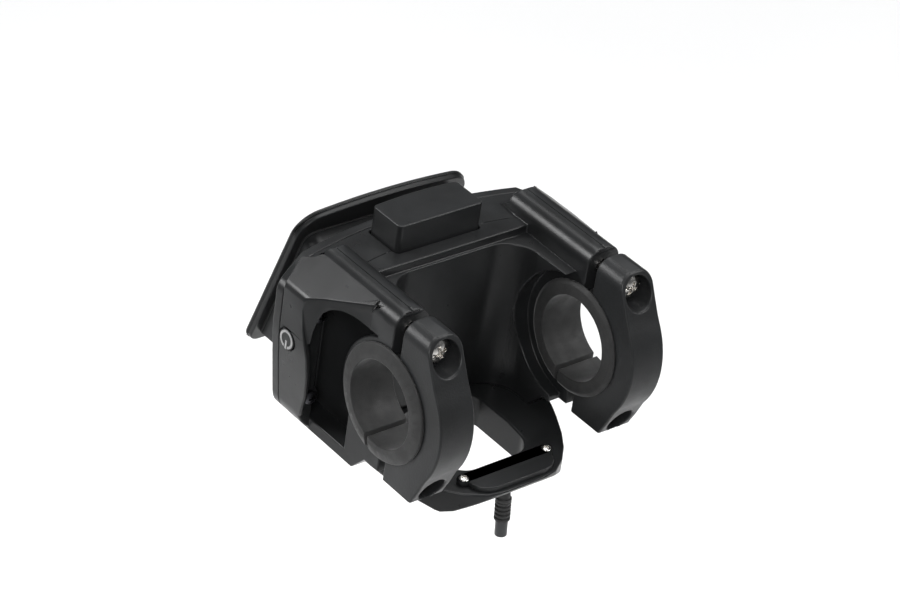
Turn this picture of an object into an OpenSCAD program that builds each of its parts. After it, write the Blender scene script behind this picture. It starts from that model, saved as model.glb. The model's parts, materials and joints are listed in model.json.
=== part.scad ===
// Handlebar-mounted cycling computer: a two-arm clamp housing in front of the bar,
// a tilted display head in front of it, and a cable tray that passes under the stem.
// Origin: on the handlebar's axis, midway between the clamps.
// X runs along the bar, Y points forward, Z points up.

/* [Handlebar clamps] */
// Diameter of the handlebar that the clamps close on
bar_d = 25.4; // [25:0.1:26]
// Distance between the centres of the two clamps
clamp_spacing = 67.6; // [67:0.1:68.4]
// Width of each clamp along the bar
clamp_w = 11.6; // [11:0.1:12]
// Gap left above the bar between an arm and its clamp cap
clamp_gap = 3.4; // [3:0.1:5]
// Height of the upper clamp screws above the bar's axis
upper_screw_z = 22.1; // [21.8:0.1:22.4]
// Depth of the lower clamp screws below the bar's axis
lower_screw_z = 19.3; // [19.2:0.1:19.5]

/* [Housing] */
// Overall width of the housing
body_w = 96; // [95:0.5:98]
// Height of the flat deck above the bar's axis
deck_z = 22.5; // [22:0.1:23]
// Height of the arms' flat tops above the bar's axis
arm_top_z = 28; // [27.5:0.1:28.5]
// Forward reach of the housing's arched front at the middle
front_y = 49; // [48.8:0.1:50]
// Radius of the arched front, seen from above
front_r = 140; // [130:1:150]
// Thickness of the front cover
cover_t = 3; // [3:0.1:3.4]
// Rear edge of the deck, where the gap for the stem begins
deck_rear_y = 26; // [25.5:0.1:26.2]
// Half the width of the gap for the stem
stem_half_w = 24; // [23.8:0.1:24.2]

/* [Display head] */
// Width of the face plate
plate_w = 61; // [60:0.5:62]
// Height of the face plate's sides, up to where its top edge starts to rise
plate_h = 54.2; // [54:0.2:55.2]
// Rise of the face plate's arched top edge
plate_rise = 2.4; // [1:0.1:3.5]
// Thickness of the face plate
plate_t = 2.6; // [2.4:0.1:3]
// Lean of the face plate from the vertical
plate_lean = 19.6; // [18:0.2:20]

/* [Buttons] */
// Width of the top button
mode_w = 29.6; // [29:0.2:30]
// Travel of the top button
mode_travel = 2.5; // [1.5:0.1:2.5]
// Diameter of the round power button
power_d = 6.2; // [6:0.1:6.3]
// Travel of the power button
power_travel = 0.8; // [0.4:0.1:0.8]

/* [Cable outlet] */
// Diameter of the ribbed boot
boot_d = 4.7; // [4.4:0.1:5]
// Length of the ribbed boot below the tray
boot_len = 8; // [6:0.5:10]
// Length of the round plug below the boot
plug_len = 5; // [4:0.5:7]

/* [Hidden] */

$fn = 48;
eps = 0.01;
cut = 80;
gap = 0.3;
skin = 0.05;

// Clamps
clamp_x = clamp_spacing / 2;
arm_in = clamp_x - clamp_w / 2;
arm_out = clamp_x + clamp_w / 2;
arm_round = 4.5;
bore_r = bar_d / 2;
shim_r = bore_r + 2.3;
flange_r = bore_r + 4.6;
flange_in = 1.3;
flange_out = 1.7;
seat_r = shim_r + skin;
cap_r = 24.3;
ear_bottom_z = -22.4;
cap_bottom_z = -23.6;
lower_gap = 2.2;
upper_bore_r = 4.6;
lower_bore_r = 4;
screw_seat_y = -10;
screw_r = 2;
screw_len = 18;
screw_head_r = 3.8;
screw_head_h = 2.8;
insert_r = 2.8;
insert_y = 2.5;
insert_len = 7;

// Housing
half_w = body_w / 2;
low_taper = 3.6;
shoulder_z = 19;
web_slope = 38;
web_r = 3;
shell_t = 2.5;
deck_t = 3;
bottom_z = -28;
seam_y = front_y - cover_t;
arch_y = seam_y - front_r;
pocket_floor_y = 29.5;
pocket_deep_y = 36.8;
pocket_rear_y = 14;
pocket_top_y = 6.5;
pocket_ring_r = 18.6;
pocket_in = 33;
pocket_out = half_w - 1.7;
pocket_top_z = 17.7;
pocket_bottom_z = bottom_z + 4;
ledge_z = 20;
ring_r = 20.3;
well_r = 10;
cavity_y = 31;
cavity_bottom_z = bottom_z + shell_t;
cover_screw_x = 41;
cover_screw_z = [-16, 11];
cover_screw_len = 11.2;
gasket_in = 0.8;
gasket_w = 0.9;
gasket_t = 0.5;
groove_back = 12;
groove_w = 0.25;

// Display head, in the face plate's own upright frame
plate_y = 65.9;
plate_z = -1.5;
plate_top_r = 8;
plate_low_r = 4;
plate_front_t = 1.1;
plate_step = 0.35;
window_z = 1.5;
lens_w = 52;
lens_h = 42;
lens_t = 1.3;
lens_r = 3;
view_w = 46;
view_h = 35;
lcd_t = 1.4;
backlight_t = 1.4;
display_board_t = 1;
display_socket_t = 1.2;
display_socket_z = 3.2;
head_w = 55;
head_top = 22;
head_bottom_z = -24;
head_wall = 2;
head_back_t = 2.4;
head_gasket_t = 0.4;
head_screw_x = 20;
head_screw_z = [-17, 6];
head_screw_y = seam_y - 0.6;
head_screw_len = 6.4;
ribbon_w = 10;
ribbon_t = 0.3;

// Main board
board_y = 35.5;
board_t = 1.6;
board_front_y = board_y + board_t;
board_half_w = 30.5;
board_top_z = 7.5;
board_low_z = -24;
post_x = 27;
post_z = [-19, 3];

// Top button
mode_y = 37.5;
mode_d = 12.6;
mode_rise = 0.8;
mode_top_z = 30.9;
mode_skirt_z = 17;
mode_flange_z = 19.1;
mode_flange_out = 0.9;
mode_corner_r = 1.4;
shelf_z = 10.5;
shelf_t = 1.5;
mode_chamber_half_w = 18;
mode_chamber_y = 28.9;
spring_x = 10;
spring_r = 2.1;
spring_wire_r = 0.25;
spring_turns = 5;
spring_top_z = 20.5;
spring_bore_r = 2.9;
plunger_gap = 0.1;

// Power button
power_y = 33.8;
power_z = 2.7;
power_flange_h = 10;
power_flange_t = 1.2;
power_in_x = -(half_w - shell_t) + skin;
symbol_r = 2.8;
symbol_t = 0.7;
symbol_out = 0.12;
symbol_depth = 0.4;

// Cable tray
tray_low_z = -38;
tray_top_z = bottom_z - skin;
tray_rear_z = -29.5;
tray_wall = 2;
tray_hole_half_w = 13.5;
tray_hole_y = [-5.5, 24];
tray_screw_at = [[30, 17.5], [24, 36]];
tray_screw_seat_z = -30.6;
lid_y = [-17, -7.6];
lid_top_z = -27.9;
lid_screw_x = 14.9;
lid_screw_y = -9.4;
lid_ear_r = 1.9;
outlet_y = -11;
outlet_lean = 6;
boot_top_z = 4.2;
boot_bore_r = 1.35;
boot_ribs = 5;
plug_r = 1.8;
plug_low_z = -boot_len - plug_len;
contact_r = 0.25;
lead_r = 1;
lead_x = 20;
lead_y = 32.8;
lead_z = -33;
lead_route = [
    [0, outlet_y + 0.2, -35.4], [0, outlet_y + 0.5, -33.9], [1, outlet_y + 0.7, lead_z], [4, outlet_y + 0.8, lead_z],
    [9, outlet_y + 1.6, lead_z], [12.4, -7.9, lead_z], [14.9, -6.5, lead_z], [17.6, -4.2, lead_z],
    [19.4, -1, lead_z], [lead_x, 4, lead_z], [lead_x, 28, lead_z], [lead_x, 31.4, lead_z + 0.8],
    [lead_x, lead_y, -29], [lead_x, lead_y, -23], [lead_x, lead_y, -16]
];

// ---------- shared shapes ----------

// Points of an arc about [cx, cy]
function arc(cx, cy, r, a0, a1, n) =
    [for (i = [0 : n]) [cx + r * cos(a0 + (a1 - a0) * i / n), cy + r * sin(a0 + (a1 - a0) * i / n)]];

// Right half of an outline, closed with its mirror image
function mirrored(p) = concat(p, [for (i = [len(p) - 1 : -1 : 0]) [-p[i][0], p[i][1]]]);

// Rounded rectangle, centred
module round_rect(w, h, r) {
    square([w - 2 * r, h], center = true);
    square([w, h - 2 * r], center = true);
    for (sx = [-1, 1], sy = [-1, 1])
        translate([sx * (w / 2 - r), sy * (h / 2 - r)]) circle(r);
}

// Rectangle w by h, centred, whose top edge rises in an arch above it
module arched_outline(w, h, rise, low_r, top_r) {
    tilt = atan(8 * rise * (w / 2 - top_r) / (w * w));
    x0 = w / 2 - top_r + top_r * sin(tilt);
    function top(x) = h / 2 + rise * (1 - pow(2 * x / w, 2));
    steps = 6;
    polygon(mirrored(concat(
        arc(w / 2 - low_r, low_r - h / 2, low_r, -90, 0, 6),
        arc(w / 2 - top_r, top(x0) - top_r * cos(tilt), top_r, 0, 90 - tilt, 8),
        [for (i = [1 : steps]) let (x = x0 * (1 - i / (steps + 0.5))) [x, top(x)]]
    )));
}

// Extrudes a side outline, drawn as [y, z], from x0 to x1
module along_x(x0, x1) {
    translate([x0, 0, 0]) rotate([90, 0, 90]) linear_extrude(x1 - x0) children();
}

// Extrudes a front outline, drawn as [x, z], from y0 to y1
module along_y(y0, y1) {
    translate([0, y1, 0]) rotate([90, 0, 0]) linear_extrude(y1 - y0) children();
}

// Round rods along X, Y and Z from one place to another
module rod_x(r, x0, x1) {
    translate([x0, 0, 0]) rotate([0, 90, 0]) cylinder(r = r, h = x1 - x0);
}
module rod_y(r, y0, y1) {
    translate([0, y1, 0]) rotate([90, 0, 0]) cylinder(r = r, h = y1 - y0);
}
module rod_z(r, z0, z1) {
    translate([0, 0, z0]) cylinder(r = r, h = z1 - z0);
}

// Box from one corner to the opposite one
module box(a, b) {
    translate(a) cube(b - a);
}

// Everything lower than z
module below(z) {
    box([-2 * cut, -2 * cut, -2 * cut], [2 * cut, 2 * cut, z]);
}

// As drawn on the right, and again mirrored to the left
module both_sides() {
    children();
    mirror([1, 0, 0]) children();
}

// Pan-head screw along +Y, its head seated at y = 0, with a cross recess
module pan_screw(len, shank_r, head_r, head_h) {
    difference() {
        union() {
            intersection() {
                rod_y(head_r, -head_h, 0);
                translate([0, 1.6 * head_r - head_h, 0]) sphere(1.6 * head_r);
            }
            rod_y(shank_r, -eps, len);
        }
        for (a = [0, 90])
            rotate([0, a, 0])
                box([-0.55 * head_r, -head_h - 1, -0.13 * head_r], [0.55 * head_r, -0.45 * head_h, 0.13 * head_r]);
    }
}

// Tube swept along a route of points, with eight sides
function unit(v) = v / norm(v);
function way(p, i) =
    unit((i < len(p) - 1 ? unit(p[i + 1] - p[i]) : [0, 0, 0]) + (i > 0 ? unit(p[i] - p[i - 1]) : [0, 0, 0]));
function turned(v, t) = unit(v - (v * t) * t);
function side_vectors(p, i = 0, v = [0.3, 0.9, 0.1], out = []) =
    i == len(p) ? out : side_vectors(p, i + 1, turned(v, way(p, i)), concat(out, [turned(v, way(p, i))]));
module swept_tube(p, r, sides = 8) {
    v = side_vectors(p);
    n = len(p);
    points = [for (i = [0 : n - 1], k = [0 : sides - 1])
        let (w = cross(way(p, i), v[i]), a = 360 * k / sides) p[i] + r * (cos(a) * v[i] + sin(a) * w)];
    walls = [for (i = [0 : n - 2], k = [0 : sides - 1], half = [0, 1])
        let (a = i * sides + k, b = i * sides + (k + 1) % sides)
            half == 0 ? [a, a + sides, b + sides] : [a, b + sides, b]];
    ends = [[for (k = [0 : sides - 1]) k], [for (k = [sides - 1 : -1 : 0]) (n - 1) * sides + k]];
    polyhedron(points, concat(walls, ends), convexity = 6);
}

// Places children in the face plate's frame: Y is its outward normal
module head_frame() {
    translate([0, plate_y, plate_z]) rotate([plate_lean, 0, 0]) children();
}

// ---------- housing ----------

// Front outline of the housing, [x, z], drawn in by an inset
module front_outline(inset = 0) {
    w = half_w - inset;
    top = deck_z - inset;
    low = bottom_z + inset;
    polygon(mirrored(concat(
        arc(w - low_taper - 9, low + 9, 9, -90, -8, 6), [[w - 1.4, -6], [w - 0.4, 1], [w, 6]],
        arc(w - 4, shoulder_z - inset - 4, 4, 0, 60, 5), [[w - 10, top]]
    )));
}

// Everything behind the arched front, moved forward by d
module behind_arch(d) {
    translate([0, arch_y, 0]) rotate([0, 0, 90]) cylinder(r = front_r + d, h = 2 * cut, center = true, $fn = 256);
}

// Plan outline of the gap for the stem, reaching forward to y
module well_plan(y) {
    translate([-stem_half_w, -cut]) square([2 * stem_half_w, cut + y - well_r]);
    translate([-stem_half_w + well_r, 0]) square([2 * (stem_half_w - well_r), y]);
    for (s = [-1, 1]) translate([s * (stem_half_w - well_r), y - well_r]) circle(well_r);
}

// Side outline of an arm with its half of the clamp, [y, z]
module arm_outline() {
    polygon(concat(
        [[0, 0], [-clamp_gap + lower_gap, -10], [-clamp_gap + lower_gap, ear_bottom_z], [5, ear_bottom_z]],
        [[10, bottom_z], [seam_y - 6, bottom_z], [seam_y - 6, deck_z - 0.5], [35.6, deck_z + 1.5]],
        arc(34.6, arm_top_z - 1, 1, 0, 90, 4),
        arc(1, arm_top_z - 1, 1, 90, 180, 4)
    ));
}

// Front outline of an arm or a clamp cap, [x, z], with a broadly rounded top
module arm_section() {
    polygon(concat(
        [[arm_in, bottom_z], [arm_out, bottom_z]],
        arc(arm_out - arm_round, arm_top_z - arm_round, arm_round, 0, 90, 10),
        arc(arm_in + arm_round, arm_top_z - arm_round, arm_round, 90, 180, 10)
    ));
}

// Web that slopes from an arm's rounded edge down to the shoulder, with a slanting rear face
module wing() {
    x0 = arm_out - arm_round * (1 - sin(web_slope));
    z0 = arm_top_z - arm_round * (1 - cos(web_slope));
    x1 = half_w - web_r * (1 - sin(web_slope));
    z1 = z0 - (x1 - x0) * tan(web_slope);
    intersection() {
        along_y(0, cut) polygon(concat(
            [[x0, 9], [x0, z0]],
            arc(half_w - web_r, z1 - web_r * cos(web_slope), web_r, 90 - web_slope, 0, 8),
            [[half_w, 6], [half_w - 0.1, 5]]
        ));
        translate([0, 0, -cut]) linear_extrude(2 * cut) polygon([
            [x0, 9], [arm_out, 9.5], [45.6, 24], [47.2, 27.2], [half_w, 28.8],
            [half_w, 45], [43.6, 45], [arm_out, 36.8], [x0, 35.2]
        ]);
        behind_arch(0);
    }
}

// Side wall that reaches back beside the bar, with the arch cut behind it
module side_cheek() {
    intersection() {
        along_x(pocket_out - 4, half_w) polygon([
            [42, bottom_z], [33.5, bottom_z], [29, -21], [26.2, -13], [25, -5], [25, 1], [26.4, 6], [27.8, 11],
            [28.6, 16], [28.8, deck_z], [42, deck_z]
        ]);
        along_y(0, cut) front_outline();
        behind_arch(0);
    }
}

// Floor of the gap for the stem and the blocks that carry the arms
module well_block() {
    difference() {
        along_x(-arm_in - 1, arm_in + 1) polygon([
            [2, ear_bottom_z], [5, ear_bottom_z], [10, bottom_z], [seam_y - 5, bottom_z],
            [seam_y - 5, deck_z], [deck_rear_y, deck_z], [deck_rear_y, ledge_z], [2, ledge_z]
        ]);
        rod_x(ring_r, -arm_in, arm_in);
        translate([0, 0, -cut]) linear_extrude(cut + ledge_z + eps) well_plan(deck_rear_y - 0.8);
        translate([0, 0, ledge_z]) linear_extrude(deck_t) well_plan(deck_rear_y);
    }
}

module housing_outside() {
    intersection() {
        along_y(pocket_floor_y, cut) front_outline();
        behind_arch(0);
    }
    well_block();
    both_sides() {
        intersection() {
            along_x(arm_in, arm_out) arm_outline();
            along_y(-cut, cut) arm_section();
        }
        side_cheek();
        wing();
    }
}

// Interior of the housing, open to the front
module housing_inside() {
    intersection() {
        along_y(mode_chamber_y, cut) front_outline(shell_t);
        union() {
            box([-pocket_in + 1.4, cavity_y, -cut], [pocket_in - 1.4, cut, shelf_z - shelf_t]);
            box([-cut, pocket_deep_y + 1.2, -cut], [cut, cut, shelf_z - shelf_t]);
            both_sides() box([arm_out + 1.4, cavity_y, -cut], [cut, cut, shelf_z - shelf_t]);
            box([-mode_chamber_half_w, mode_chamber_y, shelf_z], [mode_chamber_half_w, cut, deck_z - deck_t]);
        }
    }
}

// Arched pocket between the side wall and the clamp, which runs in behind the clamp's ring
module side_pocket() {
    along_y(0, pocket_floor_y) polygon([
        [arm_out, pocket_bottom_z], [pocket_out - 4.8, pocket_bottom_z], [pocket_out - 2.9, -19],
        [pocket_out - 1.3, -7], [pocket_out - 0.4, 0], [pocket_out, 6], [pocket_out - 0.2, 10],
        [pocket_out - 0.6, 13.4], [pocket_out - 1.1, 16.6], [pocket_out - 1.9, 18.9], [pocket_out - 3, 20],
        [pocket_out - 4.4, 20], [arm_out, 18.4]
    ]);
    difference() {
        union() {
            box([pocket_in, pocket_rear_y, pocket_bottom_z], [arm_out + eps, pocket_deep_y, pocket_top_z]);
            box([pocket_in, pocket_top_y, 0], [arm_out + eps, pocket_rear_y + eps, pocket_top_z]);
        }
        rod_x(pocket_ring_r, pocket_in - 1, arm_out + 1);
    }
}

module rear_housing() {
    color("#232326") difference() {
        union() {
            difference() {
                housing_outside();
                housing_inside();
                both_sides() side_pocket();
            }
            // Posts for the main board, the cover screws and the power switch
            for (sx = [-1, 1], z = post_z)
                translate([sx * post_x, 0, z]) rod_y(2.6, cavity_y - 1, board_y);
            intersection() {
                for (sx = [-1, 1], z = cover_screw_z)
                    translate([sx * cover_screw_x, 0, z]) rod_y(2.9, pocket_floor_y, cut);
                behind_arch(0);
            }
        }
        for (sx = [-1, 1], z = post_z)
            translate([sx * post_x, 0, z]) rod_y(0.9, board_y - 4, board_y + 1);
        for (sx = [-1, 1], z = cover_screw_z)
            translate([sx * cover_screw_x, 0, z]) rod_y(1.3, pocket_floor_y - 1, cut);
        both_sides() {
            // Seat for the shim, and inserts for the clamp screws
            rod_x(seat_r, arm_in - 5, arm_out + 6);
            for (z = [upper_screw_z, -lower_screw_z])
                translate([clamp_x, 0, z]) {
                    rod_y(insert_r, insert_y - skin, insert_y + insert_len);
                    rod_y(screw_r + 0.2, -5, insert_y + insert_len + 2.5);
                }
            for (p = tray_screw_at)
                translate([p[0], p[1], 0]) rod_z(0.95, bottom_z - 1, bottom_z + (p[1] > 30 ? shell_t + 1 : 5));
        }
        // Groove for the gasket
        cover_ring(skin);
        // Openings for the lead, the top button and the power button
        translate([lead_x, lead_y, 0]) rod_z(lead_r + 0.5, bottom_z - 1, cavity_bottom_z + 1);
        mode_slab(deck_z - deck_t - 1, deck_z + 1, gap);
        translate([0, power_y, power_z]) {
            rod_x(power_d / 2 + 0.15, -half_w - 1, power_in_x + 1);
            box([power_in_x - skin, -power_d / 2 - gap, -power_flange_h / 2 - gap],
                [-arm_out - 2, power_d / 2 + gap, power_flange_h / 2 + gap]);
        }
        // Fine parting grooves along the arms' tops and across the deck
        both_sides() box([clamp_x, -1, arm_top_z - groove_w], [clamp_x + groove_w, cut, arm_top_z + 1]);
        intersection() {
            box([-arm_in, deck_rear_y, deck_z - groove_w], [arm_in, cut, deck_z + 1]);
            difference() {
                behind_arch(-groove_back);
                behind_arch(-groove_back - groove_w);
            }
        }
    }
}

// Ring that follows the housing's front rim, with room added around it
module cover_ring(room = 0) {
    intersection() {
        along_y(30, cut) difference() {
            front_outline(gasket_in - room);
            front_outline(gasket_in + gasket_w + room);
        }
        difference() {
            behind_arch(room > 0 ? 1 : 0);
            behind_arch(-gasket_t - room);
        }
    }
}

module cover_gasket() {
    color("#151515") cover_ring();
}

module front_cover() {
    color("#232326") difference() {
        intersection() {
            along_y(30, cut) front_outline();
            difference() {
                behind_arch(cover_t);
                behind_arch(skin / 2);
            }
        }
        for (sx = [-1, 1]) {
            for (z = cover_screw_z)
                translate([sx * cover_screw_x, 0, z]) rod_y(1, 30, pocket_floor_y + cover_screw_len + 0.3);
            for (z = head_screw_z)
                translate([sx * head_screw_x, 0, z]) {
                    rod_y(1.35, 30, cut);
                    rod_y(2.6, 30, head_screw_y);
                }
        }
        box([-ribbon_w / 2 - 1, 30, -1.5], [ribbon_w / 2 + 1, cut, 1.5]);
    }
}

module cover_screws() {
    color("silver") for (sx = [-1, 1], z = cover_screw_z)
        translate([sx * cover_screw_x, pocket_floor_y, z]) pan_screw(cover_screw_len, 0.98, 2.1, 1.6);
}

// ---------- display head ----------

// Face plate's outline, [x, z], drawn in by an inset
module plate_outline(inset = 0) {
    arched_outline(plate_w - 2 * inset, plate_h - 2 * inset, plate_rise, plate_low_r - inset, plate_top_r - inset);
}

module face_plate() {
    color("#1f1f22") head_frame() difference() {
        union() {
            along_y(-plate_front_t, 0) plate_outline();
            along_y(-plate_t, -plate_front_t + eps) plate_outline(plate_step);
        }
        translate([0, 0, window_z]) {
            along_y(-lens_t, 1) round_rect(lens_w + 0.2, lens_h + 0.2, lens_r);
            along_y(-cut, 1) round_rect(view_w, view_h, 1);
        }
    }
}

module display_lens() {
    color("#101418") head_frame() translate([0, 0, window_z])
        along_y(-lens_t + skin, -skin) round_rect(lens_w, lens_h, lens_r);
}

// Layers of the display, each d behind the face plate's front
module display_layer(d, t, w, h) {
    head_frame() translate([0, 0, window_z]) along_y(-d - t, -d) round_rect(w, h, 0.8);
}

module lcd_panel() {
    color("#8a9a86") display_layer(lens_t + skin, lcd_t - 2 * skin, view_w - 0.4, view_h - 0.4);
}

module backlight_plate() {
    color("#e8e8e0") display_layer(lens_t + lcd_t + skin, backlight_t, view_w - 0.6, view_h - 0.6);
}

module display_board() {
    d = lens_t + lcd_t + backlight_t + 2 * skin;
    color("#1d5a33") {
        display_layer(d, display_board_t, 49, 36);
        head_frame() translate([0, 0, display_socket_z])
            along_y(-d - display_board_t - display_socket_t, -d - display_board_t + eps) square([12, 3.4], center = true);
    }
}

// Outline of the head shell, [x, z], drawn in by an inset
module head_outline(inset = 0) {
    translate([0, head_top - 40]) round_rect(head_w - 2 * inset, 80 - 2 * inset, 4 - inset * 0.6);
}

module head_shell() {
    front = -plate_t - head_gasket_t - skin;
    color("#1b1b1d") difference() {
        head_frame() along_y(-cut, front) head_outline();
        behind_arch(cover_t + skin);
        below(head_bottom_z);
        difference() {
            head_frame() along_y(-cut, 0) head_outline(head_wall);
            behind_arch(cover_t + head_back_t);
            below(head_bottom_z + head_wall);
            for (sx = [-1, 1], z = head_screw_z)
                translate([sx * head_screw_x, 0, z]) rod_y(2.6, 0, head_screw_y + head_screw_len + 1);
        }
        for (sx = [-1, 1], z = head_screw_z)
            translate([sx * head_screw_x, 0, z]) rod_y(1, 0, head_screw_y + head_screw_len + 0.3);
        box([-ribbon_w / 2 - 1, 30, -1.5], [ribbon_w / 2 + 1, seam_y + 10, 1.5]);
    }
}

module head_gasket() {
    color("#151515") difference() {
        head_frame() along_y(-plate_t - head_gasket_t, -plate_t - skin / 2) difference() {
            head_outline(0.3);
            head_outline(head_wall - 0.3);
        }
        below(head_bottom_z + 0.3);
    }
}

module head_screws() {
    color("silver") for (sx = [-1, 1], z = head_screw_z)
        translate([sx * head_screw_x, head_screw_y, z]) pan_screw(head_screw_len, 0.98, 2.1, 1.6);
}

// Flat lead from the main board's socket to the display board's socket
module display_ribbon() {
    rear_y = board_front_y + 1.8;
    d = lens_t + lcd_t + backlight_t + display_board_t + display_socket_t + 3 * skin;
    end_y = plate_y + (plate_z * sin(plate_lean) - d) / cos(plate_lean) - ribbon_t;
    color("#c98a3a") along_x(-ribbon_w / 2, ribbon_w / 2) polygon([
        [rear_y, -ribbon_t / 2], [end_y, -ribbon_t / 2], [end_y, ribbon_t / 2], [rear_y, ribbon_t / 2]
    ]);
}

// ---------- electronics ----------

module main_board() {
    color("#1d5a33") difference() {
        along_y(board_y, board_front_y) translate([0, (board_top_z + board_low_z) / 2])
            round_rect(2 * board_half_w, board_top_z - board_low_z, 1.5);
        for (sx = [-1, 1], z = post_z)
            translate([sx * post_x, 0, z]) rod_y(1.15, 0, cut);
        translate([lead_x, 0, 0]) box([-1.6, 0, board_low_z - 1], [1.6, cut, board_low_z + 1.5]);
    }
}

module board_chips() {
    chips = [[20, -12, 8, 8, 1.2], [9, 2, 5, 4, 1], [-8, 4, 4, 3, 0.9], [23, -1, 3.4, 3.4, 0.9], [-18, 4.2, 6, 3, 0.8]];
    color("#15151a") for (c = chips)
        translate([c[0], 0, c[1]])
            box([-c[2] / 2, board_front_y, -c[3] / 2], [c[2] / 2, board_front_y + c[4], c[3] / 2]);
}

module board_connector() {
    color("#e6dfcc") difference() {
        box([-6.5, board_front_y, -1.6], [6.5, board_front_y + 2.6, 1.6]);
        box([-ribbon_w / 2 - 0.1, board_front_y + 1.6, -0.25], [ribbon_w / 2 + 0.1, board_front_y + 3, 0.25]);
    }
}

module board_screws() {
    color("silver") for (sx = [-1, 1], z = post_z)
        translate([sx * post_x, board_front_y, z]) mirror([0, 1, 0]) pan_screw(board_t + 3.2, 0.88, 1.9, 1.2);
}

module buffer_cell() {
    color("#b9bcc4") translate([-14.5, 0, -13]) along_y(board_front_y + 0.6, board_front_y + 4.2) round_rect(20, 16, 1.2);
}

module cell_bracket() {
    y = board_front_y;
    color("#2a2a2e") translate([-14.5, 0, -13]) difference() {
        box([-11, y, -4.5], [11, y + 5, 4.5]);
        box([-10.1, y - 1, -6], [10.1, y + 4.3, 6]);
    }
}

module buzzer() {
    color("#17171a") translate([7, 0, -14]) difference() {
        rod_y(4.6, board_front_y, board_front_y + 3);
        rod_y(0.7, board_front_y + 2, board_front_y + 4);
    }
}

module radio_module() {
    color("#c8ccd0") box([13, board_front_y, 0.6], [20.5, board_front_y + 1.9, 6.6]);
}

// ---------- buttons ----------

// Slab with the top button's plan outline, made wider by t
module mode_slab(z0, z1, t) {
    translate([0, mode_y, z0]) linear_extrude(z1 - z0)
        arched_outline(mode_w + 2 * t, mode_d + 2 * t, mode_rise, mode_corner_r, mode_corner_r);
}

module mode_button() {
    color("#29292c") difference() {
        union() {
            mode_slab(mode_skirt_z, mode_top_z, 0);
            mode_slab(mode_skirt_z, mode_flange_z, mode_flange_out);
        }
        // Bores that hold the springs' upper ends
        for (s = [-1, 1])
            translate([s * spring_x, mode_y, 0]) rod_z(spring_bore_r, 0, spring_top_z + skin);
    }
}

module mode_seal() {
    color("#101010") difference() {
        mode_slab(mode_flange_z + skin / 2, deck_z - deck_t - skin, mode_flange_out - 0.2);
        mode_slab(mode_skirt_z, deck_z, 0.1);
    }
}

// Coil springs that stand on the shelf inside the button's bores
module mode_springs() {
    steps = 10;
    n = spring_turns * steps;
    rise = spring_top_z - shelf_z - 2 * spring_wire_r - 2 * skin;
    route = [for (i = [0 : n])
        [(spring_r - spring_wire_r) * cos(360 * i / steps), (spring_r - spring_wire_r) * sin(360 * i / steps),
            shelf_z + spring_wire_r + skin + rise * i / n]];
    color("silver") for (s = [-1, 1]) translate([s * spring_x, mode_y, 0]) swept_tube(route, spring_wire_r, 6);
}

module mode_switch() {
    plunger_z = mode_skirt_z - mode_travel - plunger_gap;
    color("#3a3a3f") translate([0, mode_y, 0]) {
        box([-3, -3, shelf_z], [3, 3, plunger_z - 0.7]);
        rod_z(1.5, plunger_z - 0.75, plunger_z);
    }
}

module power_button() {
    color("#232326") translate([0, power_y, power_z]) difference() {
        union() {
            rod_x(power_d / 2, -half_w, power_in_x + 0.5);
            box([power_in_x, -power_d / 2 + 0.05, -power_flange_h / 2],
                [power_in_x + power_flange_t, power_d / 2 - 0.05, power_flange_h / 2]);
        }
        power_mark(-half_w - 1, -half_w + symbol_depth, skin / 2);
    }
}

// Open ring with a bar in its gap, which faces down
module power_mark(x0, x1, room = 0) {
    difference() {
        rod_x(symbol_r + room, x0, x1);
        rod_x(symbol_r - symbol_t - room, x0 - 1, x1 + 1);
        box([x0 - 1, -0.75 + room, -cut], [x1 + 1, 0.75 - room, 0]);
    }
    box([x0, -symbol_t / 2 - room, -symbol_r - 0.2 - room], [x1, symbol_t / 2 + room, -0.4 + room]);
}

module power_symbol() {
    color("#c9c9cc") translate([0, power_y, power_z]) power_mark(-half_w - symbol_out, -half_w + symbol_depth - skin);
}

module power_switch() {
    tip = power_in_x + power_flange_t + power_travel + plunger_gap;
    color("#3a3a3f") translate([0, power_y, power_z]) {
        box([tip + 0.5, -2.4, -2.6], [-arm_out - 1.4 - skin, 2.4, 2.6]);
        rod_x(1.2, tip, tip + 0.55);
    }
}

// ---------- clamps ----------

// Side outline of a clamp cap, [y, z]
module cap_outline() {
    polygon(concat(
        [[-clamp_gap, cap_bottom_z], [-clamp_gap, arm_top_z]],
        arc(-12, arm_top_z - 1.2, 1.2, 90, 158, 4),
        [[-16.9, 19.5], [-18.9, 15.6]],
        arc(0, 0, cap_r, 147, 214, 14),
        [[-18, -18.7], [-16.2, -22.4]],
        arc(-14.9, cap_bottom_z + 1.2, 1.2, 200, 270, 4)
    ));
}

module clamp_cap() {
    color("#262629") difference() {
        intersection() {
            along_x(arm_in, arm_out) cap_outline();
            along_y(-cut, cut) arm_section();
        }
        rod_x(seat_r, 0, cut);
        for (s = [[upper_screw_z, upper_bore_r], [-lower_screw_z, lower_bore_r]])
            translate([clamp_x, 0, s[0]]) {
                rod_y(screw_r + 0.2, -cut, 0);
                rod_y(s[1], -cut, screw_seat_y);
            }
    }
}

module left_clamp_cap() {
    mirror([1, 0, 0]) clamp_cap();
}

module right_clamp_cap() {
    clamp_cap();
}

// Rubber sleeve with a flange on each side of the clamp, slit underneath
module shim() {
    x0 = arm_in - skin;
    x1 = arm_out + skin;
    color("#1a1a1a") difference() {
        rotate([90, 0, 90]) rotate_extrude($fn = 96) polygon([
            [bore_r, x0 - flange_in], [flange_r - 1.2, x0 - flange_in], [flange_r, x0 - 0.5], [flange_r, x0],
            [shim_r, x0], [shim_r, x1], [flange_r, x1], [flange_r, x1 + 0.6], [flange_r - 0.5, x1 + 0.9],
            [bore_r + 1.4, x1 + flange_out], [bore_r, x1 + flange_out]
        ]);
        box([0, 3, -cut], [cut, 4.2, -5]);
    }
}

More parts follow.
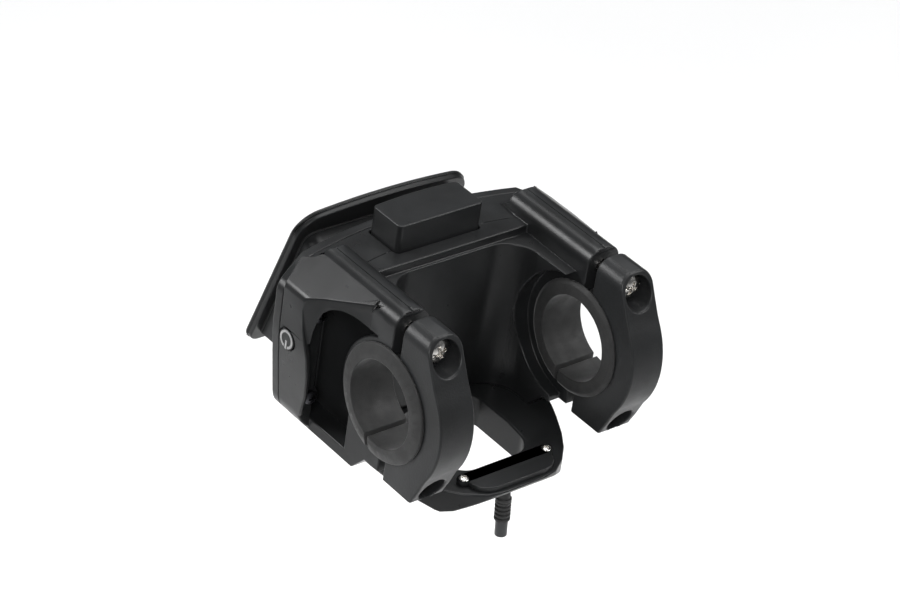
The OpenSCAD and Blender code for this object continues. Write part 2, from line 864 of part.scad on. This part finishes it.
module left_shim() {
    mirror([1, 0, 0]) shim();
}

module right_shim() {
    shim();
}

module upper_clamp_screws() {
    color("silver") both_sides() translate([clamp_x, screw_seat_y - skin, upper_screw_z])
        rotate([0, 20, 0]) pan_screw(screw_len, screw_r, screw_head_r, screw_head_h);
}

module lower_clamp_screws() {
    color("silver") both_sides() translate([clamp_x, screw_seat_y - skin, -lower_screw_z])
        rotate([0, -30, 0]) pan_screw(screw_len, screw_r, screw_head_r, screw_head_h);
}

module clamp_inserts() {
    color("#b9923f") both_sides() for (z = [upper_screw_z, -lower_screw_z])
        translate([clamp_x, 0, z]) difference() {
            rod_y(insert_r - skin, insert_y, insert_y + insert_len - skin);
            rod_y(screw_r + skin, insert_y - 1, insert_y + insert_len + 1);
        }
}

// ---------- cable tray ----------

// Plan, side and front outlines of the tray's belly, drawn in by an inset
module tray_plan(t = 0) {
    polygon(mirrored([
        [6, -18.4 + t], [12.5 - t * 0.2, -17.2 + t], [17.5 - t * 0.6, -14 + t * 0.8], [22 - t * 0.8, -9.4 + t * 0.6],
        [25.8 - t, -4], [28.7 - t, 2], [31.5 - t, 9], [33.5 - t, 14],
        [33.5 - t, 30], [30 - t * 0.7, 38 - t * 0.7], [24, 41 - t]
    ]));
}
module tray_side(t = 0) {
    polygon([
        [-18.4 + t, tray_rear_z - t], [-4, tray_rear_z - t], [6, tray_top_z - t * 0.7],
        [41 - t, tray_top_z - t * 0.7], [40.5 - t, -32], [37 - t, -35.5 + t * 0.3], [32 - t, tray_low_z + t],
        [-7 + t, tray_low_z + t], [-11.8 + t, -36.2 + t * 0.5], [-15.4 + t, -33.2 + t * 0.3],
        [-17.7 + t, -31 - t * 0.5]
    ]);
}
module tray_front(t = 0) {
    polygon(mirrored([
        [17 - t, tray_low_z + t], [22.6 - t, -37 + t * 0.7], [27.6 - t, -34.4 + t * 0.5],
        [31.8 - t, -30.8], [33.5 - t, -28], [33.5 - t, 0]
    ]));
}

module tray_solid(t = 0) {
    intersection() {
        translate([0, 0, -cut]) linear_extrude(cut) tray_plan(t);
        along_x(-cut, cut) tray_side(t);
        along_y(-cut, cut) tray_front(t);
    }
}

// The tray's opening under the stem, made wider by t
module tray_hole(t = 0) {
    y0 = tray_hole_y[0] - t;
    y1 = tray_hole_y[1] + t;
    translate([0, (y0 + y1) / 2, -cut])
        linear_extrude(cut) round_rect(2 * (tray_hole_half_w + t), y1 - y0, 6);
}

module cable_tray() {
    color("#232326") difference() {
        tray_solid();
        difference() {
            tray_solid(tray_wall);
            tray_hole(tray_wall);
            for (sx = [-1, 1], p = tray_screw_at)
                translate([sx * p[0], p[1], 0]) rod_z(3.4, -cut, 0);
            for (sx = [-1, 1])
                translate([sx * lid_screw_x, lid_screw_y, 0]) rod_z(1.7, -cut, 0);
            outlet_frame() rod_z(boot_d / 2 + 1, -cut, boot_top_z);
        }
        tray_hole();
        // Access under the lid and the way up to the housing
        box([-7.5, lid_y[0] + 1.6, tray_rear_z - 4], [7.5, lid_y[1] - 1, 0]);
        translate([lead_x, lead_y, 0]) rod_z(lead_r + 0.7, lead_z, 0);
        for (sx = [-1, 1], p = tray_screw_at)
            translate([sx * p[0], p[1], 0]) {
                rod_z(1.25, -cut, 0);
                rod_z(2.4, -cut, tray_screw_seat_z);
            }
        for (sx = [-1, 1])
            translate([sx * lid_screw_x, lid_screw_y, 0]) rod_z(0.85, -35, 0);
        outlet_frame() rod_z(boot_d / 2 - 0.45 + skin, -cut, boot_top_z + 1);
    }
}

module tray_lid() {
    color("#202023") difference() {
        translate([0, 0, tray_rear_z + skin]) linear_extrude(lid_top_z - tray_rear_z - skin) {
            polygon(mirrored([
                [8.5, lid_y[0]], [11.4, lid_y[0] + 0.7], [13.4, lid_y[0] + 2.2], [14.5, lid_y[0] + 4.4],
                [lid_screw_x, lid_screw_y], [lid_screw_x, lid_y[1]]
            ]));
            for (sx = [-1, 1]) translate([sx * lid_screw_x, lid_screw_y]) circle(lid_ear_r);
        }
        for (sx = [-1, 1])
            translate([sx * lid_screw_x, lid_screw_y, 0]) {
                rod_z(1.15, -cut, 0);
                rod_z(1.6, lid_top_z - 0.5, 0);
            }
    }
}

module tray_screws() {
    color("silver") both_sides() for (p = tray_screw_at)
        translate([p[0], p[1], tray_screw_seat_z - skin]) rotate([90, 0, 0])
            pan_screw(p[1] > 30 ? 5.6 : 7, 0.92, 2.1, 1.6);
}

module lid_screws() {
    color("silver") both_sides()
        translate([lid_screw_x, lid_screw_y, lid_top_z - 0.5 + skin]) rotate([-90, 0, 0])
            pan_screw(4.6, 0.83, 1.5, 1.1);
}

// ---------- cable outlet ----------

// Places children where the outlet leaves the tray, leaning a little to the rear
module outlet_frame() {
    translate([0, outlet_y, tray_low_z]) rotate([-outlet_lean, 0, 0]) children();
}

module cable_boot() {
    r = boot_d / 2;
    pitch = boot_len / (boot_ribs + 1);
    color("#1c1c1e") outlet_frame() difference() {
        union() {
            rod_z(r - 0.45, -boot_len, boot_top_z);
            rod_z(r, -1.5, -0.6);
            for (i = [1 : boot_ribs])
                rod_z(r, -boot_len + i * pitch - 0.75 * pitch, -boot_len + i * pitch - 0.2 * pitch);
        }
        rod_z(boot_bore_r, -boot_len - 1, boot_top_z + 1);
    }
}

module cable_plug() {
    color("#3c3c40") outlet_frame() difference() {
        union() {
            rod_z(plug_r, plug_low_z, -boot_len - skin);
            rod_z(boot_bore_r - skin, -boot_len - 1, -boot_len + 3);
        }
        rod_z(plug_r - 0.5, plug_low_z - 1, plug_low_z + 3.4);
    }
}

module plug_contacts() {
    color("gold") outlet_frame() for (a = [0 : 90 : 270])
        rotate([0, 0, a + 45]) translate([0.7, 0, 0]) rod_z(contact_r, plug_low_z + 0.6, plug_low_z + 3.4);
}

module inner_lead() {
    color("#2c2c2c") swept_tube(lead_route, lead_r);
}

rear_housing();
front_cover();
cover_gasket();
cover_screws();
head_shell();
head_gasket();
head_screws();
face_plate();
display_lens();
lcd_panel();
backlight_plate();
display_board();
display_ribbon();
main_board();
board_chips();
board_connector();
board_screws();
buffer_cell();
cell_bracket();
buzzer();
radio_module();
mode_button();
mode_seal();
mode_springs();
mode_switch();
power_button();
power_symbol();
power_switch();
left_clamp_cap();
right_clamp_cap();
left_shim();
right_shim();
upper_clamp_screws();
lower_clamp_screws();
clamp_inserts();
cable_tray();
tray_lid();
tray_screws();
lid_screws();
cable_boot();
cable_plug();
plug_contacts();
inner_lead();
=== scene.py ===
"""Looks of the handlebar-mounted cycling computer: softened edges, materials, floor and light."""

import json
import math

import bmesh
import bpy
from mathutils import Matrix, Vector


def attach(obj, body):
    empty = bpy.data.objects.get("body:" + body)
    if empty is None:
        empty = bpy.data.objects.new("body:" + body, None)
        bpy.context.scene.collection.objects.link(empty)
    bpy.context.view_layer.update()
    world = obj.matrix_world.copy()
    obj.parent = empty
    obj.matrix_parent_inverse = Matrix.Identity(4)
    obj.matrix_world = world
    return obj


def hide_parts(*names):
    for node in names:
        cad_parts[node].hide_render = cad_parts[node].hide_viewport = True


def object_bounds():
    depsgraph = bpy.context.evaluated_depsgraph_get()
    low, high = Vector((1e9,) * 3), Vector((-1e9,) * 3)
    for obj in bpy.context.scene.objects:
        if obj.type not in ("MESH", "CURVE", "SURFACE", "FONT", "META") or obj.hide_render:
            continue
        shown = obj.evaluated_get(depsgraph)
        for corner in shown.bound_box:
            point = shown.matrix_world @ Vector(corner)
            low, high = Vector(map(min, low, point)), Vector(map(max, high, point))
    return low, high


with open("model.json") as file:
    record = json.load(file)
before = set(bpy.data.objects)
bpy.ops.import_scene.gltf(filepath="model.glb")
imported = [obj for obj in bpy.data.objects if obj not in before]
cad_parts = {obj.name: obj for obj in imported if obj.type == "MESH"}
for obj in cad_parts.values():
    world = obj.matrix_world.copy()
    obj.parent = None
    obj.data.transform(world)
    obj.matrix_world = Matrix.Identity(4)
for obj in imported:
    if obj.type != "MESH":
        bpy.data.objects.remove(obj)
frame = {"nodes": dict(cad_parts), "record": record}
cad_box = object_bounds()

MM = 0.001
MICRON = 0.001 * MM
# The body that each node moves with
BODY = {node: body for body, nodes in frame["record"]["behaviour"]["bodies"].items() for node in nodes}


# ---------- camera ----------

# The rider's view from behind and to the left, looking down on the clamps
CAMERA_AZIMUTH = math.radians(-43.09)
CAMERA_ELEVATION = math.radians(32.77)
CAMERA_ROLL = math.radians(8.82)
CAMERA_DISTANCE = 871.85 * MM
CAMERA_SHIFT_RIGHT = -13.19 * MM
CAMERA_SHIFT_UP = 18.25 * MM
CAMERA_LENS = 126.69


def make_camera():
    """Camera at the photograph's viewing angle, aimed a little beside the middle of the bar."""
    back = Vector((
        math.sin(CAMERA_AZIMUTH) * math.cos(CAMERA_ELEVATION),
        -math.cos(CAMERA_AZIMUTH) * math.cos(CAMERA_ELEVATION),
        math.sin(CAMERA_ELEVATION),
    ))
    level_right = Vector((math.cos(CAMERA_AZIMUTH), math.sin(CAMERA_AZIMUTH), 0))
    level_up = back.cross(level_right)
    right = level_right * math.cos(CAMERA_ROLL) + level_up * math.sin(CAMERA_ROLL)
    up = level_up * math.cos(CAMERA_ROLL) - level_right * math.sin(CAMERA_ROLL)
    place = right * CAMERA_SHIFT_RIGHT + up * CAMERA_SHIFT_UP + back * CAMERA_DISTANCE
    data = bpy.data.cameras.new("camera")
    data.lens = CAMERA_LENS
    data.clip_start = 0.01
    camera = bpy.data.objects.new("camera", data)
    axes = Matrix((right, up, back)).transposed().to_4x4()
    camera.matrix_world = Matrix.Translation(place) @ axes
    bpy.context.scene.collection.objects.link(camera)
    bpy.context.scene.camera = camera


make_camera()


# ---------- materials ----------

class Nodes:
    """Short way to add and join shader nodes in one material."""

    def __init__(self, name):
        self.material = bpy.data.materials.new(name)
        self.material.use_nodes = True
        self.tree = self.material.node_tree
        self.shader = self.tree.nodes["Principled BSDF"]
        self.place = self.add("ShaderNodeTexCoord").outputs["Object"]

    def add(self, kind, **values):
        """New node of one kind, with its properties set."""
        node = self.tree.nodes.new(kind)
        for key, value in values.items():
            setattr(node, key, value)
        return node

    def join(self, source, target):
        """Link an output socket to an input socket."""
        self.tree.links.new(source, target)

    def noise(self, scale, detail=2.0, roughness=0.5):
        """Noise through the piece; scale is in waves per metre."""
        node = self.add("ShaderNodeTexNoise")
        node.inputs["Scale"].default_value = scale
        node.inputs["Detail"].default_value = detail
        node.inputs["Roughness"].default_value = roughness
        self.join(self.place, node.inputs["Vector"])
        return node.outputs["Fac"]

    def ramp(self, source, stops):
        """Colours at given positions of a factor."""
        node = self.add("ShaderNodeValToRGB")
        ramp = node.color_ramp
        while len(ramp.elements) < len(stops):
            ramp.elements.new(0.5)
        for element, (position, colour) in zip(ramp.elements, stops):
            element.position = position
            element.color = colour
        self.join(source, node.inputs["Fac"])
        return node.outputs["Color"]

    def span(self, source, low, high, start=0.3, end=0.7):
        """Factor from start to end, stretched to run from low to high."""
        node = self.add("ShaderNodeMapRange")
        node.inputs["From Min"].default_value = start
        node.inputs["From Max"].default_value = end
        node.inputs["To Min"].default_value = low
        node.inputs["To Max"].default_value = high
        self.join(source, node.inputs["Value"])
        return node.outputs["Result"]

    def bump(self, height, depth, below=None):
        """Normal that is roughened by a height, over the normal below."""
        node = self.add("ShaderNodeBump")
        node.inputs["Strength"].default_value = 1.0
        node.inputs["Distance"].default_value = depth
        self.join(height, node.inputs["Height"])
        if below is not None:
            self.join(below, node.inputs["Normal"])
        return node.outputs["Normal"]

    def set(self, **values):
        """Set plain values on the shader, with _ for a space in their names."""
        for key, value in values.items():
            self.shader.inputs[key.replace("_", " ")].default_value = value
        return self.material


def grey(value, tint=0.0):
    """Nearly neutral colour, a touch bluer as tint rises."""
    return (value, value * (1 + tint / 2), value * (1 + tint), 1)


def moulded_plastic(name, shade, rough, grain, depth=18 * MICRON):
    """Satin black plastic with spark-eroded grain, cloudy gloss and a painted highlight that lightens its
    convex edges.
    """
    n = Nodes(name)
    # Painted highlight: the base colour is lightened where the surface is convex (pointiness), along the
    # edges
    edge_highlight = n.span(n.add("ShaderNodeNewGeometry").outputs["Pointiness"], 0.0, 1.0, 0.51, 0.60)
    cloud = n.noise(70, 3)
    mixed = n.add("ShaderNodeMixRGB", blend_type="ADD")
    clouded = [(0.3, grey(shade * 0.85, 0.06)), (0.7, grey(shade * 1.15, 0.10))]
    highlight_stops = [(0.0, grey(0)), (1.0, grey(shade * 0.9, 0.05))]
    n.join(n.ramp(cloud, clouded), mixed.inputs["Color1"])
    n.join(n.ramp(edge_highlight, highlight_stops), mixed.inputs["Color2"])
    mixed.inputs["Fac"].default_value = 1.0
    n.join(mixed.outputs["Color"], n.shader.inputs["Base Color"])
    n.join(n.span(n.noise(160, 4, 0.6), *rough), n.shader.inputs["Roughness"])
    fine = n.bump(n.noise(grain, 2, 0.6), depth)
    n.join(n.bump(n.noise(260, 2), 20 * MICRON, fine), n.shader.inputs["Normal"])
    return n.set(Specular_IOR_Level=0.18)


def rubber(name, shade, grain=3200):
    """Soft matte rubber with a dusty sheen."""
    n = Nodes(name)
    dusty = [(0.3, grey(shade * 0.8)), (0.7, grey(shade * 1.3))]
    n.join(n.ramp(n.noise(120, 4), dusty), n.shader.inputs["Base Color"])
    n.join(n.span(n.noise(300, 3), 0.55, 0.75), n.shader.inputs["Roughness"])
    n.join(n.bump(n.noise(grain, 3, 0.6), 30 * MICRON), n.shader.inputs["Normal"])
    return n.set(Specular_IOR_Level=0.35, Sheen_Weight=0.15, Sheen_Roughness=0.4)


def metal(name, colour, rough):
    """Plated metal with fine brushing and a few duller patches."""
    n = Nodes(name)
    dull = tuple(c * 0.78 for c in colour[:3]) + (1,)
    n.join(n.ramp(n.noise(220, 4), [(0.35, dull), (0.65, colour)]), n.shader.inputs["Base Color"])
    n.join(n.span(n.noise(500, 3), *rough), n.shader.inputs["Roughness"])
    n.join(n.bump(n.noise(900, 3, 0.7), 10 * MICRON), n.shader.inputs["Normal"])
    return n.set(Metallic=1.0)


def printed_grey(name):
    """Light grey paint in the power mark, slightly uneven."""
    n = Nodes(name)
    n.join(n.ramp(n.noise(1400, 3), [(0.3, grey(0.20)), (0.7, grey(0.29))]), n.shader.inputs["Base Color"])
    n.join(n.span(n.noise(900), 0.45, 0.62), n.shader.inputs["Roughness"])
    n.join(n.bump(n.noise(4200), 20 * MICRON), n.shader.inputs["Normal"])
    return n.material


def smoked_lens(name):
    """Hard clear window over the display, lightly smoked, with faint wiping marks."""
    n = Nodes(name)
    smoke = [(0.3, (0.42, 0.45, 0.47, 1)), (0.7, (0.50, 0.53, 0.55, 1))]
    n.join(n.span(n.noise(90, 5, 0.7), 0.03, 0.12), n.shader.inputs["Roughness"])
    n.join(n.ramp(n.noise(60, 2), smoke), n.shader.inputs["Base Color"])
    return n.set(Transmission_Weight=1.0, IOR=1.49, Coat_Weight=0.3, Coat_Roughness=0.04)


def lcd_glass(name):
    """Grey-green liquid-crystal panel at rest, with a soft uneven tint."""
    n = Nodes(name)
    tint = [(0.3, (0.21, 0.25, 0.19, 1)), (0.7, (0.26, 0.30, 0.23, 1))]
    n.join(n.ramp(n.noise(45, 2), tint), n.shader.inputs["Base Color"])
    n.join(n.span(n.noise(800, 2), 0.30, 0.42), n.shader.inputs["Roughness"])
    n.join(n.bump(n.noise(5000), 8 * MICRON), n.shader.inputs["Normal"])
    return n.material


def speckled(name, dark, light, rough, scale=1500, metallic=0.0):
    """Plain hidden parts: boards, chips, sockets and wrapped cells."""
    n = Nodes(name)
    n.join(n.ramp(n.noise(scale, 3), [(0.3, dark), (0.7, light)]), n.shader.inputs["Base Color"])
    n.join(n.span(n.noise(scale * 2), rough - 0.08, rough + 0.08), n.shader.inputs["Roughness"])
    n.join(n.bump(n.noise(scale * 3), 20 * MICRON), n.shader.inputs["Normal"])
    return n.set(Metallic=metallic)


SHELL = moulded_plastic("shell_plastic", shade=0.010, rough=(0.27, 0.36), grain=3600)
DECK = moulded_plastic("button_plastic", shade=0.010, rough=(0.27, 0.36), grain=3800)
HEAD = moulded_plastic("head_plastic", shade=0.008, rough=(0.28, 0.38), grain=3600)
CAP = moulded_plastic("clamp_plastic", shade=0.012, rough=(0.33, 0.44), grain=1900, depth=45 * MICRON)
RUBBER = rubber("shim_rubber", shade=0.012)
BOOT = rubber("boot_rubber", shade=0.016, grain=4200)
NICKEL = metal("bright_nickel", (0.74, 0.72, 0.69, 1), rough=(0.14, 0.30))
STEEL = metal("plain_steel", (0.56, 0.56, 0.57, 1), rough=(0.25, 0.42))
BRASS = metal("brass", (0.72, 0.53, 0.24, 1), rough=(0.25, 0.42))
GOLD = metal("gold_plating", (0.85, 0.62, 0.28, 1), rough=(0.18, 0.30))
PRINT = printed_grey("grey_print")
LENS = smoked_lens("smoked_lens")
LCD = lcd_glass("lcd_glass")
BLACK_STEEL = metal("blackened_steel", (0.045, 0.045, 0.050, 1), rough=(0.34, 0.50))
BOARD = speckled("solder_mask", (0.010, 0.070, 0.028, 1), (0.016, 0.105, 0.042, 1), rough=0.38)
CHIP = speckled("epoxy_black", grey(0.010), grey(0.020), rough=0.55, scale=2600)
SOCKET = speckled("cream_socket", (0.60, 0.55, 0.43, 1), (0.68, 0.63, 0.50, 1), rough=0.45)
WRAP = speckled("cell_foil", grey(0.42, 0.1), grey(0.55, 0.1), rough=0.32, scale=700, metallic=0.9)
DIFFUSER = speckled("backlight_white", grey(0.70), grey(0.80), rough=0.40, scale=400)
AMBER = speckled("amber_film", (0.42, 0.17, 0.025, 1), (0.52, 0.23, 0.04, 1), rough=0.30)
SHEATH = rubber("lead_sheath", shade=0.02, grain=2600)
PLUG = moulded_plastic("plug_plastic", shade=0.035, rough=(0.30, 0.42), grain=3600, depth=20 * MICRON)

# The look of each node
LOOKS = {
    "rear_housing": SHELL, "front_cover": SHELL, "cover_gasket": RUBBER, "cover_screws": BLACK_STEEL,
    "head_shell": HEAD, "head_gasket": RUBBER, "head_screws": STEEL, "face_plate": HEAD,
    "display_lens": LENS, "lcd_panel": LCD, "backlight_plate": DIFFUSER, "display_board": BOARD,
    "display_ribbon": AMBER, "main_board": BOARD, "board_chips": CHIP, "board_connector": SOCKET,
    "board_screws": STEEL, "buffer_cell": WRAP, "cell_bracket": CHIP, "buzzer": CHIP,
    "radio_module": STEEL, "mode_button": DECK, "mode_seal": RUBBER, "mode_springs": STEEL,
    "mode_switch": CHIP, "power_button": SHELL, "power_symbol": PRINT, "power_switch": CHIP,
    "left_clamp_cap": CAP, "right_clamp_cap": CAP, "left_shim": RUBBER, "right_shim": RUBBER,
    "upper_clamp_screws": NICKEL, "lower_clamp_screws": NICKEL, "clamp_inserts": BRASS,
    "cable_tray": SHELL, "tray_lid": SHELL, "tray_screws": STEEL, "lid_screws": NICKEL,
    "cable_boot": BOOT, "cable_plug": PLUG, "plug_contacts": GOLD, "inner_lead": SHEATH,
}


def paint(thing, material):
    """Give an object one material and no other."""
    thing.data.materials.clear()
    thing.data.materials.append(material)


for node, cad_object in frame["nodes"].items():
    paint(cad_object, LOOKS[node])


# ---------- softened copies of the moulded parts ----------

# Edge radius of each moulded or turned part, in millimetres
EDGE_RADIUS = {
    "rear_housing": 0.45, "front_cover": 0.4, "head_shell": 0.5, "face_plate": 0.45,
    "mode_button": 0.4, "left_clamp_cap": 0.6, "right_clamp_cap": 0.6, "cable_tray": 0.6,
    "tray_lid": 0.25, "display_lens": 0.2, "left_shim": 0.3, "right_shim": 0.3,
    "cable_boot": 0.12, "cable_plug": 0.2, "upper_clamp_screws": 0.15, "lower_clamp_screws": 0.15,
    "lid_screws": 0.08, "tray_screws": 0.08,
}
MERGE_DISTANCE = 0.002 * MM
# Triangles that meet at less than this make one flat face
FLAT_ANGLE = math.radians(0.4)
# Faces that meet at more than this have an edge to round off
EDGE_ANGLE = math.radians(28)
# A face's corner that is sharper than this has only one of its two edges rounded
NARROW_ANGLE = math.radians(35)
BEVEL_SEGMENTS = 3
# An edge needs faces this many radii deep for its full radius, and has less beside narrower ones
FULL_DEPTH = 2.2
# An edge that would have less than this share of its radius stays sharp
LEAST_SHARE = 0.3

# The tops of the housing's arms are its lengthwise faces above this height
ARM_TOPS_ABOVE = 24 * MM
# The most that a lengthwise face's normal leans along the arm
LENGTHWISE_LEAN = 0.1
# They are cut across this far apart and this many times, going forward from the bar's axis
ARM_SLICE = 2.3 * MM
ARM_SLICES = 15
CUT_TOLERANCE = 1 * MICRON


def face_depth(edge, face):
    """How far a face reaches away from one of its edges."""
    start, end = (vert.co for vert in edge.verts)
    along = (end - start).normalized()
    offsets = (vert.co - start for vert in face.verts)
    return max((offset - offset.dot(along) * along).length for offset in offsets)


def weigh_edges(work, radius):
    """Mark the sharp edges to round off, less where the faces beside them are narrow."""
    weight = work.edges.layers.float.new("bevel_weight_edge")
    for edge in work.edges:
        if edge.is_manifold and edge.calc_face_angle() > EDGE_ANGLE:
            share = min(face_depth(edge, face) for face in edge.link_faces) / (FULL_DEPTH * radius)
            edge[weight] = min(1, share) if share > LEAST_SHARE else 0
    for face in work.faces:
        for corner in face.loops:
            pair = (corner.edge, corner.link_loop_prev.edge)
            if corner.calc_angle() < NARROW_ANGLE and all(edge[weight] > 0 for edge in pair):
                min(pair, key=lambda edge: edge.calc_length())[weight] = 0


def keep_crisp(work):
    """Shade the sharp edges that stay unrounded as sharp."""
    weight = work.edges.layers.float["bevel_weight_edge"]
    for edge in work.edges:
        if edge.is_manifold and edge[weight] == 0 and edge.calc_face_angle() > EDGE_ANGLE:
            edge.smooth = False


def on_arm_top(face):
    """Whether a face runs lengthwise along the top of one of the arms."""
    return face.calc_center_median().z > ARM_TOPS_ABOVE and abs(face.normal.y) < LENGTHWISE_LEAN


def in_order(parts):
    """Edges or vertices without repeats, in an order that is the same each run."""
    return sorted(set(parts), key=lambda part: part.index)


def slice_arms(work):
    """Cut the long faces along the arms' tops into short ones, so that their shading stays even."""
    for i in range(1, ARM_SLICES + 1):
        work.verts.index_update()
        work.edges.index_update()
        faces = [face for face in work.faces if on_arm_top(face)]
        edges = in_order(edge for face in faces for edge in face.edges)
        verts = in_order(vert for face in faces for vert in face.verts)
        bmesh.ops.bisect_plane(
            work,
            geom=faces + edges + verts,
            dist=CUT_TOLERANCE,
            plane_co=(0, i * ARM_SLICE, 0),
            plane_no=(0, 1, 0),
        )


def softened(node, radius):
    """Copy of a CAD part with its triangles joined into faces and its edges rounded off."""
    mesh = bpy.data.meshes.new(node + "_soft")
    work = bmesh.new()
    work.from_mesh(frame["nodes"][node].data)
    bmesh.ops.remove_doubles(work, verts=work.verts, dist=MERGE_DISTANCE)
    bmesh.ops.dissolve_limit(work, angle_limit=FLAT_ANGLE, verts=work.verts, edges=work.edges)
    weigh_edges(work, radius * MM)
    if node == "rear_housing":
        slice_arms(work)
    for face in work.faces:
        face.smooth = True
    keep_crisp(work)
    work.to_mesh(mesh)
    work.free()
    piece = bpy.data.objects.new(node + "_soft", mesh)
    bpy.context.scene.collection.objects.link(piece)
    bevel = piece.modifiers.new("edges", "BEVEL")
    bevel.width = radius * MM
    bevel.segments = BEVEL_SEGMENTS
    bevel.limit_method = "WEIGHT"
    bevel.use_clamp_overlap = False
    weigh = piece.modifiers.new("shading", "WEIGHTED_NORMAL")
    weigh.keep_sharp = True
    paint(piece, LOOKS[node])
    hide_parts(node)
    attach(piece, BODY[node])


for node, radius in EDGE_RADIUS.items():
    softened(node, radius)


# ---------- studio ----------

FLOOR_DROP = 0.16
FLOOR_REACH = 6.0
SKY_COLOUR = (0.93, 0.96, 1.0, 1)
SKY_STRENGTH = 0.1
# Each lamp's name, place, size and power, and the cone in degrees that its light keeps inside
LAMPS = [
    ("top_box", (0.55, 0.4, 2.0), (1.8, 1.8), 54, 180),
    ("front_left_box", (-0.61, 0.60, 0.47), (0.34, 0.44), 0.85, 50),
    ("rear_right_box", (0.58, -0.54, 0.62), (0.34, 0.34), 0.5, 50),
    ("rear_left_box", (-0.8, -0.7, 0.7), (0.5, 0.5), 1.4, 60),
]


def floor():
    """Wide pale floor, far enough below that the part seems to hang over it."""
    mesh = bpy.data.meshes.new("floor")
    low = cad_box[0].z - FLOOR_DROP
    corners = [(x * FLOOR_REACH, y * FLOOR_REACH, low) for x, y in ((-1, -1), (1, -1), (1, 1), (-1, 1))]
    mesh.from_pydata(corners, [], [(0, 1, 2, 3)])
    thing = bpy.data.objects.new("floor", mesh)
    bpy.context.scene.collection.objects.link(thing)
    n = Nodes("pale_floor")
    n.join(n.ramp(n.noise(3), [(0.3, grey(0.86)), (0.7, grey(0.90))]), n.shader.inputs["Base Color"])
    paint(thing, n.set(Roughness=0.9))


def soft_light(name, place, size, power, spread, aim):
    """Rectangular lamp, turned to its aim, whose light keeps inside a cone of spread degrees."""
    data = bpy.data.lights.new(name, "AREA")
    data.spread = math.radians(spread)
    data.shape = "RECTANGLE"
    data.size, data.size_y = size
    data.energy = power
    lamp = bpy.data.objects.new(name, data)
    lamp.location = place
    lamp.rotation_euler = (aim - Vector(place)).to_track_quat("-Z", "Y").to_euler()
    bpy.context.scene.collection.objects.link(lamp)


def sky():
    """Faint even light from all round."""
    world = bpy.data.worlds.new("studio")
    world.use_nodes = True
    background = world.node_tree.nodes["Background"]
    background.inputs["Color"].default_value = SKY_COLOUR
    background.inputs["Strength"].default_value = SKY_STRENGTH
    bpy.context.scene.world = world


floor()
sky()
for lamp in LAMPS:
    soft_light(*lamp, aim=(cad_box[0] + cad_box[1]) / 2)
bpy.context.scene.view_settings.view_transform = "Standard"
